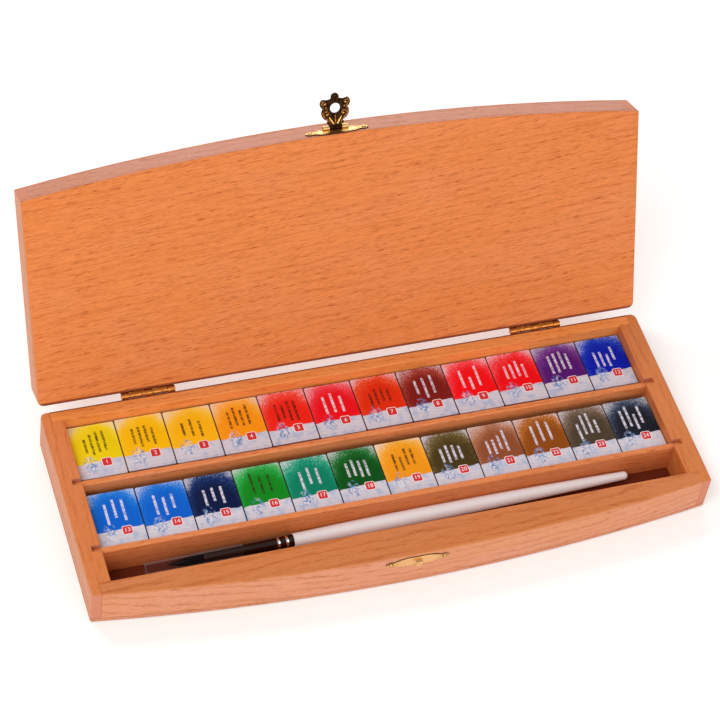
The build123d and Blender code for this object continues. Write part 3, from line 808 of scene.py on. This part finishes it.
def wrapped_pan(size, top):
    """A pan in its folded paper wrapper, standing on the origin, its corners and edges rounded."""
    corner, shoulder, sunk = 0.5, 0.5, 0.14
    half_x, half_y = size[0] / 2 - shoulder, size[1] / 2 - shoulder
    xs = shoulder_places(half_x, corner, 7)
    ys = shoulder_places(half_y, corner, 9)
    pan = bmesh.new()
    bmesh.ops.create_grid(pan, x_segments=len(xs) - 1, y_segments=len(ys) - 1, size=0.5)
    for point in pan.verts:
        x = xs[round((point.co.x + 0.5) * (len(xs) - 1))]
        y = ys[round((point.co.y + 0.5) * (len(ys) - 1))]
        point.co = (x, y, top(x, y))
    core_x, core_y = half_x - corner, half_y - corner

    def widened(point, out):
        core = Vector((max(-core_x, min(core_x, point.x)), max(-core_y, min(core_y, point.y)), 0))
        way = Vector((point.x, point.y, 0)) - core
        place = core + way.normalized() * (corner + out)
        return Vector((place.x, place.y, point.z))

    edges = [edge for edge in pan.edges if edge.is_boundary]
    for point in {end for edge in edges for end in edge.verts}:
        point.co = widened(point.co, 0)
    drops = [(0.2, 0.04), (0.36, 0.15), (0.46, 0.31), (0.5, 0.5)]
    drops += [(0.44, 5.0), (0.36, PAN_HEIGHT - 0.5), (0.1, PAN_HEIGHT - 0.02)]
    for out, down in drops:
        grown = bmesh.ops.extrude_edge_only(pan, edges=edges)["geom"]
        edges = [item for item in grown if isinstance(item, bmesh.types.BMEdge)]
        edges = [edge for edge in edges if edge.is_boundary]
        for point in {end for edge in edges for end in edge.verts}:
            point.co = widened(point.co, out)
            point.co.z = PAN_HEIGHT - down - (sunk if down < 1 else 0.0)
    bmesh.ops.contextual_create(pan, geom=edges)
    bmesh.ops.recalc_face_normals(pan, faces=pan.faces)
    return pan


def folded_end(size):
    """The folded paper at one end of a pan, its face towards -Y at y = 0."""
    half = size[0] / 2 - 0.5
    flaps = bmesh.new()
    shapes = (
        [(-half, 0.6), (-half, PAN_HEIGHT - 1.1), (-half * 0.42, PAN_HEIGHT * 0.55)],
        [(half, PAN_HEIGHT - 1.1), (half, 0.6), (half * 0.42, PAN_HEIGHT * 0.55)],
        [(-half + 0.9, 0.5), (half - 0.9, 0.5), (half * 0.36, 6.6), (-half * 0.36, 6.6)],
    )
    for layer, shape in enumerate(shapes):
        flap = bmesh.new()
        outline = [flap.verts.new((x, -0.05 * (layer > 1), z)) for x, z in shape]
        face = flap.faces.new(outline)
        grown = bmesh.ops.extrude_face_region(flap, geom=[face])["geom"]
        raised = [item for item in grown if isinstance(item, bmesh.types.BMVert)]
        bmesh.ops.translate(flap, vec=(0, -0.09, 0), verts=raised)
        bmesh.ops.recalc_face_normals(flap, faces=flap.faces)
        bmesh.ops.bevel(
            flap, geom=list(flap.edges), offset=0.03, segments=1, profile=0.5,
            affect="EDGES", material=-1,
        )
        merged(flaps, flap)
    return flaps


def numeral(number):
    """A number's flat shape, centred on the origin and raised a little."""
    text = bpy.data.curves.new("numeral", "FONT")
    text.body = str(number)
    text.size = 3.1
    text.align_x = "CENTER"
    text.align_y = "CENTER"
    text.extrude = 0.03
    text.resolution_u = 3
    return grown_from(text)


def tag_plate():
    """A small square tag with rounded corners, its face and rim on two material slots."""
    tag = bmesh.new()
    bmesh.ops.create_grid(tag, x_segments=1, y_segments=1, size=2.45)
    bmesh.ops.bevel(
        tag, geom=list(tag.verts), offset=1.0, segments=4, profile=0.5,
        affect="VERTICES", material=-1,
    )
    grown = bmesh.ops.extrude_face_region(tag, geom=list(tag.faces))["geom"]
    raised = [item for item in grown if isinstance(item, bmesh.types.BMVert)]
    bmesh.ops.translate(tag, vec=(0, 0, 0.05), verts=raised)
    bmesh.ops.translate(tag, vec=(0, 0, -0.1), verts=[v for v in tag.verts if v not in raised])
    bmesh.ops.recalc_face_normals(tag, faces=tag.faces)
    top = max(tag.faces, key=lambda face: face.calc_center_median().z)
    for face in tag.faces:
        face.material_index = 2
    bmesh.ops.inset_region(tag, faces=[top], thickness=0.32, depth=0.0, use_even_offset=True)
    top.material_index = 1
    return tag


BLACK_MARKS = paint(44, 34, 20)
WHITE_MARKS = paint(226, 222, 236)
# For each pan its deepest colour, its wash, and whether its bars are dark
LABELS = (
    ((236, 208, 12), (250, 222, 40), True),
    ((250, 190, 8), (253, 204, 32), True),
    ((252, 184, 16), (252, 200, 56), True),
    ((250, 150, 18), (252, 178, 60), True),
    ((240, 34, 22), (244, 84, 66), True),
    ((236, 12, 26), (242, 70, 84), False),
    ((226, 44, 10), (236, 88, 48), True),
    ((126, 26, 22), (178, 72, 58), False),
    ((246, 10, 20), (248, 74, 84), False),
    ((240, 8, 20), (246, 74, 82), False),
    ((84, 20, 112), (128, 64, 152), False),
    ((2, 26, 172), (40, 78, 204), False),
    ((0, 96, 204), (30, 128, 220), False),
    ((0, 94, 202), (26, 120, 216), False),
    ((2, 22, 66), (20, 56, 116), False),
    ((8, 132, 26), (40, 172, 76), True),
    ((0, 124, 94), (34, 162, 130), False),
    ((0, 78, 20), (30, 120, 50), False),
    ((238, 150, 20), (242, 176, 58), True),
    ((70, 56, 22), (116, 98, 54), False),
    ((140, 76, 44), (186, 126, 96), False),
    ((140, 72, 16), (190, 114, 48), False),
    ((74, 62, 46), (126, 102, 84), False),
    ((24, 28, 40), (66, 80, 104), False),
)


def build_pans():
    red = Finish("tag_red", {"Coat Weight": 0.4, "Coat Roughness": 0.15})
    spread = red.clouds(red.spot(), 2.0, 2.0)
    red.colour(red.blend(spread.rise(0.3, 0.7) * 0.5, paint(214, 28, 36), paint(190, 20, 30)))
    red.roughness(spread * 0.15 + 0.3)
    white = Finish("tag_white", {"Coat Weight": 0.3, "Coat Roughness": 0.2})
    mottle = white.clouds(white.spot(), 3.0, 2.0)
    white.colour(white.blend(mottle * 0.4, paint(250, 236, 238), paint(232, 206, 212)))
    white.roughness(mottle * 0.15 + 0.32)
    for number, (deep, wash, dark_marks) in enumerate(LABELS, start=1):
        node = "pan_%02d" % number
        low, high = [corner * 1000 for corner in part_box(node)]
        centre = (low + high) / 2
        size = high - low
        marks = BLACK_MARKS if dark_marks else WHITE_MARKS
        finish = label(number, paint(*deep), paint(*wash), marks, centre, size)
        top = pan_top(number, size)
        pan = wrapped_pan(size, top)
        end = size.y / 2 - 0.02
        merged(pan, folded_end(size), Matrix.Translation((0, -end + 0.12, 0)))
        turn = Matrix.Rotation(math.pi, 4, "Z")
        merged(pan, folded_end(size), Matrix.Translation((0, end - 0.12, 0)) @ turn)
        tag_spot = Vector((size.x * 0.14, -size.y * 0.235, 0))
        before = len(pan.verts)
        merged(pan, tag_plate(), Matrix.Translation(tag_spot))
        merged(pan, numeral(number), Matrix.Translation(tag_spot + Vector((0, 0, 0.07))), 2)
        pan.verts.ensure_lookup_table()
        for point in pan.verts[before:]:
            point.co.z += top(point.co.x, point.co.y)
        foot = Matrix.Translation((centre.x, centre.y, low.z))
        add_piece(
            "wrapped_" + node, node, pan, [finish, red, white], foot,
            stands_for=[node], smooth=40,
        )


# Brush

def handle_profile():
    """Points along the handle: a swelling a third of the way along, then a long taper."""
    tip = HANDLE_LENGTH - HANDLE_END
    stations = [
        (0.0, 0.0), (0.0, HANDLE_NECK - 0.2), (0.12, HANDLE_NECK), (10, 3.47), (24, 3.72),
        (36, 3.83), (BELLY_AT, HANDLE_BELLY), (TAPER_AT, 3.76),
    ]
    for step in range(1, 9):
        along = TAPER_AT + (tip - TAPER_AT) * step / 8
        taper = (along - BELLY_AT) / (tip - BELLY_AT)
        bow = 0.36 * math.sin(math.pi * taper)
        stations.append((along, HANDLE_BELLY - (HANDLE_BELLY - HANDLE_END) * taper + bow))
    for step in range(1, 6):
        angle = math.radians(90 * step / 6)
        stations.append((tip + HANDLE_END * math.sin(angle), HANDLE_END * math.cos(angle)))
    return stations + [(HANDLE_LENGTH, 0.0)]


def ferrule_profile():
    """The ferrule's outside with two rolled crimps, then its open mouth."""
    def radius(along):
        return 3.05 - 0.7 * along / FERRULE_LENGTH

    points = [(0.0, radius(0) - 0.3), (-0.05, radius(0))]
    along = 0.6
    while along < FERRULE_LENGTH - 0.2:
        dent = 0.0
        for crimp in CRIMPS:
            dent += 0.26 * math.exp(-((along - crimp) / 0.55) ** 2)
            dent -= 0.07 * math.exp(-((abs(along - crimp) - 1.3) / 0.45) ** 2)
        points.append((-along, radius(along) - dent))
        along += 0.3 if along < 10 else 4.0
    for back, inwards in ((0.1, 0.0), (0.0, 0.08), (0.1, 0.34), (2.0, 0.36)):
        along = FERRULE_LENGTH - back
        points.append((-along, radius(along) - inwards))
    return points


def hair_radius(share):
    """The tuft's radius at a share of its length: a full belly drawn in to a point."""
    belly = 1.93 + 0.30 * math.sin(math.pi * min(1, share / 0.62))
    if share < 0.3:
        return belly
    drawn = (share - 0.3) / 0.7
    return belly * (1 - drawn ** 1.75) + 0.05


def strand(rings):
    """One straight three-sided hair along -X, one long, drawn in to its tip."""
    hair = bmesh.new()
    bmesh.ops.create_circle(hair, segments=3, radius=1.0, cap_ends=False)
    edges = list(hair.edges)
    for _ in range(rings):
        grown = bmesh.ops.extrude_edge_only(hair, edges=edges)["geom"]
        tips = [item for item in grown if isinstance(item, bmesh.types.BMVert)]
        edges = [item for item in grown if isinstance(item, bmesh.types.BMEdge)]
        edges = [edge for edge in edges if edge.verts[0] in tips and edge.verts[1] in tips]
        bmesh.ops.translate(hair, vec=(0, 0, 1.0 / rings), verts=tips)
    bmesh.ops.recalc_face_normals(hair, faces=hair.faces)
    hair.transform(Matrix.Rotation(math.radians(-90), 4, "Y"))
    return hair


def hair_tuft(count):
    """A full pointed tuft of separate hairs on a sunflower spiral, rooted inside the ferrule."""
    jumble = random.Random(11)
    pattern = strand(6)
    pattern_data = bpy.data.meshes.new("strand")
    pattern.to_mesh(pattern_data)
    pattern.free()
    tuft = bmesh.new()
    golden = math.pi * (3 - math.sqrt(5))
    for number in range(count):
        outward = math.sqrt((number + 0.5) / count)
        angle = number * golden
        length = 1 - 0.34 * outward ** 2 * jumble.uniform(0.7, 1.25)
        wave = jumble.uniform(-0.05, 0.05)
        thickness = jumble.uniform(0.055, 0.085)
        before = len(tuft.verts)
        tuft.from_mesh(pattern_data)
        tuft.verts.ensure_lookup_table()
        for point in tuft.verts[before:]:
            share = min(1.0, -point.co.x) * length
            local = -point.co.x
            radius = hair_radius(share) * outward * 0.96
            bend = wave * math.sin(math.pi * local)
            thin = thickness * (1 - 0.88 * local ** 3)
            point.co = Vector((
                1.2 - share * (HAIR_LENGTH + 1.2),
                (radius + bend) * math.cos(angle) + point.co.y * thin,
                (radius + bend) * math.sin(angle) + point.co.z * thin,
            ))
    bpy.data.meshes.remove(pattern_data)
    bmesh.ops.translate(tuft, vec=(-FERRULE_LENGTH, 0, 0), verts=tuft.verts)
    core = turned(
        [(1.4, 0.0), (1.4, 1.85), (-1.0, 1.85), (-6, 1.9), (-10, 1.55), (-14, 0.75), (-16, 0.0)],
        24,
    )
    merged(tuft, core, Matrix.Translation((-FERRULE_LENGTH, 0, 0)))
    return tuft


def lacquered(untilt):
    """White lacquer with faint streaks and scuffs."""
    lacquer = Finish("white_lacquer", {"Coat Weight": 0.5, "Coat Roughness": 0.1})
    body = lacquer.spot(untilt)
    streaks = lacquer.clouds(lacquer.stretch(body, (0.05, 0.5, 0.5)), 1.0, 2.0)
    scuffs = lacquer.clouds(body, 0.8, 5.0, 0.7)
    tint = lacquer.blend(streaks * 0.4, paint(255, 253, 254), paint(248, 243, 246))
    lacquer.colour(lacquer.blend(scuffs.rise(0.64, 0.8) * 0.2, tint, paint(212, 202, 202)))
    lacquer.roughness(scuffs * 0.1 + 0.2)
    lacquer.relief(streaks, 0.004, 0.3)
    return lacquer


def nickelled(untilt, shift):
    """Drawn metal with a painted dark reflection over it, and painted glints as bright rings in the
    crimps.
    """
    nickel = Finish(
        "ferrule_metal", {"Metallic": 1.0, "Sheen Weight": 0.5, "Sheen Roughness": 0.2}
    )
    body = nickel.spot(untilt, shift)
    drawn = nickel.clouds(nickel.stretch(body, (0.25, 9.0, 9.0)), 1.0, 3.0)
    spots = nickel.clouds(body, 1.6, 4.0, 0.65)
    # Painted reflection: a dark base colour stands for the dark surroundings the metal reflects.
    painted_dark_reflection = nickel.blend(spots.rise(0.5, 0.8) * 0.5, paint(70, 56, 52), paint(44, 32, 28))
    # Painted glints: the metal is bright only in rings at the crimps.
    near = [abs(nickel.parts(body)[0] + crimp).rise(0.35, 0.75) for crimp in CRIMPS]
    nickel.colour(nickel.blend(near[0] * near[1], paint(240, 238, 238), painted_dark_reflection))
    nickel.roughness(drawn * 0.06 + spots * 0.06 + 0.1)
    nickel.relief(drawn, 0.006, 0.3)
    return nickel


def black_haired(untilt):
    """Black hair with brownish strands."""
    fur = Finish("black_hair", {"Specular IOR Level": 0.2})
    body = fur.spot(untilt)
    tufts = fur.clouds(fur.stretch(body, (0.12, 5.0, 5.0)), 1.0, 3.0)
    fur.colour(fur.blend(tufts.rise(0.4, 0.75) * 0.6, paint(8, 6, 6), paint(30, 19, 15)))
    fur.roughness(tufts * 0.2 + 0.36)
    return fur


def clear_plastic(untilt):
    """Clear plastic: seen through, but for its rim, its ends and a slight haze."""
    tube = Finish("clear_tube")
    body = tube.spot(untilt)
    haze = tube.clouds(body, 0.7, 4.0, 0.6)
    tube.roughness(haze * 0.12 + 0.06)
    tube.colour(tube.blend(haze * 0.5, paint(240, 240, 244), paint(216, 218, 226)))
    through = tube.node("ShaderNodeBsdfTransparent", {}, {"Color": paint(252, 252, 253)})
    graze = tube.node("ShaderNodeLayerWeight", {}, {"Blend": 0.3})
    rim = Value(tube, graze.outputs["Facing"]).rise(0.80, 0.98)
    ends = abs(tube.parts(tube.facing(untilt))[0]).rise(0.5, 0.9)
    amount = Value(tube, graze.outputs["Fresnel"]) * 0.1 + rim * 0.5 + ends * 0.45 + haze * 0.002
    both = tube.node(
        "ShaderNodeMixShader",
        {},
        {0: amount, 1: through.outputs[0], 2: tube.shader.outputs[0]},
    )
    tube.feed(tube.output.inputs["Surface"], both.outputs[0])
    return tube


def sleeve_profile():
    """The sleeve's wall, its ends rounded."""
    rounding = ((0.0, -0.24), (0.05, -0.04), (0.12, 0.0))
    near = [(SLEEVE_START + inset, SLEEVE_RADIUS + lower) for inset, lower in rounding]
    far = [(SLEEVE_END - inset, SLEEVE_RADIUS + lower) for inset, lower in reversed(rounding)]
    return near + far + [(SLEEVE_END - 0.1, SLEEVE_BORE), (SLEEVE_START + 0.1, SLEEVE_BORE)]


def build_brush():
    untilt = BRUSH_PLACE.to_3x3().inverted().to_4x4()
    shift = -(untilt @ BRUSH_PLACE.translation)
    handle = turned(handle_profile(), 56)
    ferrule = turned(ferrule_profile(), 56)
    sleeve = turned(sleeve_profile(), 56, closed=True)
    for name, body, mesh, finish, slot, node, smooth in (
        ("handle_lacquered", "brush", handle, lacquered(untilt), "white_lacquer", "handle", 50),
        ("ferrule_crimped", "brush", ferrule, nickelled(untilt, shift), "ferrule_metal",
         "ferrule", 50),
        ("hair_strands", "brush", hair_tuft(760), black_haired(untilt), "black_hair", "hair", 70),
        ("sleeve_clear", "sleeve", sleeve, clear_plastic(untilt), "clear_tube", "sleeve", 50),
    ):
        add_piece(
            name, body, mesh, [finish], BRUSH_PLACE, stands_for=["brush_" + node],
            smooth=smooth,
        )


# Camera, floor and lights

def build_stage():
    scene = bpy.context.scene
    scene.view_settings.view_transform = "Standard"
    scene.view_settings.look = "None"
    camera = bpy.data.cameras.new("camera")
    camera.lens = 134.27
    camera.sensor_width = 36
    camera.clip_start = 0.01
    eye = bpy.data.objects.new("camera", camera)
    eye.location = (-0.333325, -0.699519, 1.015544)
    eye.rotation_euler = (0.68555593, -0.10681124, -0.29549194)
    scene.collection.objects.link(eye)
    scene.camera = eye

    surface = Finish("floor", {
        "Roughness": 0.9,
        "Emission Color": (1.0, 0.99, 0.98, 1.0),
        "Emission Strength": 0.2,
    })
    surface.colour(paint(243, 242, 241))
    ground = bmesh.new()
    bmesh.ops.create_grid(ground, x_segments=1, y_segments=1, size=3.0)
    data = bpy.data.meshes.new("floor")
    ground.to_mesh(data)
    ground.free()
    data.materials.append(surface.material)
    floor = bpy.data.objects.new("floor", data)
    scene.collection.objects.link(floor)

    world = bpy.data.worlds.new("studio")
    scene.world = world
    world.use_nodes = True
    background = world.node_tree.nodes["Background"]
    background.inputs["Color"].default_value = (1.0, 0.985, 0.97, 1.0)
    background.inputs["Strength"].default_value = 0.48
    lamps = (
        ("key", (-1.7, -1.2, 2.5), 2.0, 42.0),
        ("front", (0.6, -2.4, 1.0), 1.9, 24.0),
        ("back", (-0.55, 0.9, 1.2), 0.35, 4.5),
        ("behind", (0.4, 1.5, 0.4), 1.0, 9.0),
    )
    for name, place, size, power in lamps:
        lamp = bpy.data.lights.new(name, "AREA")
        lamp.shape = "SQUARE"
        lamp.size = size
        lamp.energy = power
        holder = bpy.data.objects.new(name, lamp)
        holder.location = place
        aim = Vector((0, 0, 0.03)) - Vector(place)
        holder.rotation_euler = aim.to_track_quat("-Z", "Y").to_euler()
        scene.collection.objects.link(holder)


build_stage()
build_wood()
bright_brass = build_hinges()
build_latch(bright_brass)
build_pans()
build_brush()
